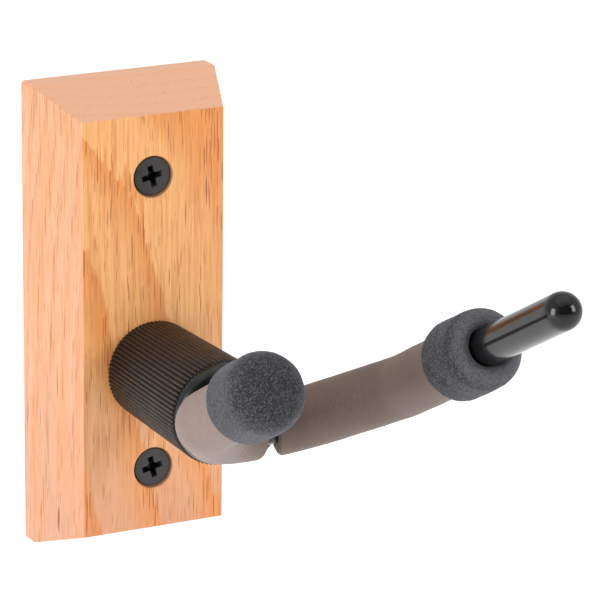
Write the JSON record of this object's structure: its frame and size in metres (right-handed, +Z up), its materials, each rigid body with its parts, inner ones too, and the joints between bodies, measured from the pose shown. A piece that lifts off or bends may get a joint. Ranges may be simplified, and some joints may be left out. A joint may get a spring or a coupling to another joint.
{
  "type": "wall guitar hanger",
  "caption": "Bevelled oak wall block with a ribbed collar and a swivelling rod yoke, its arms in rubber sleeves with foam ends, that hangs a guitar by the headstock.",
  "frame": {"origin": "middle of the block's wall face", "axes": "+Y into the wall, so the arms point along -Y; +Z up; +X to the right as seen from the front"},
  "size_m": [0.0717, 0.2137, 0.1206],
  "materials": {
    "oak": "satin natural oak, grain along Z",
    "black_steel": "black phosphate, semi-matt",
    "collar_plastic": "satin moulded black with fine straight ribs",
    "nose_plastic": "smooth satin black",
    "natural_nylon": "smooth, slightly translucent white",
    "zinc_steel": "bright zinc plate",
    "spring_steel": "dull grey",
    "stem_steel": "black, turned",
    "insert_nylon": "smooth blue nylon",
    "rod_coating": "thick glossy black coating on steel",
    "sleeve_rubber": "matt taupe rubber",
    "foam": "dark grey closed-cell foam, fine speckle"
  },
  "bodies": {
    "wall_unit": {"backplate": "oak", "upper_wall_screw": "black_steel", "lower_wall_screw": "black_steel", "collar": "collar_plastic", "nose_bushing": "nose_plastic", "rear_bushing": "natural_nylon"},
    "yoke": {"thrust_washer": "nose_plastic", "rear_washer": "zinc_steel", "spring_washer": "spring_steel", "lock_nut": "zinc_steel", "nut_insert": "insert_nylon", "pivot_stem": "stem_steel", "stem_weld": "stem_steel", "yoke_rod": "rod_coating", "left_sleeve": "sleeve_rubber", "right_sleeve": "sleeve_rubber", "left_foam_cap": "foam", "right_foam_collar": "foam"}
  },
  "joints": [
    {"name": "yoke_swivel", "type": "hinge", "parent": "wall_unit", "child": "yoke", "pos_m": [0, -0.04, -0.0118], "axis": [0, 1, 0], "continuous": true}
  ]
}
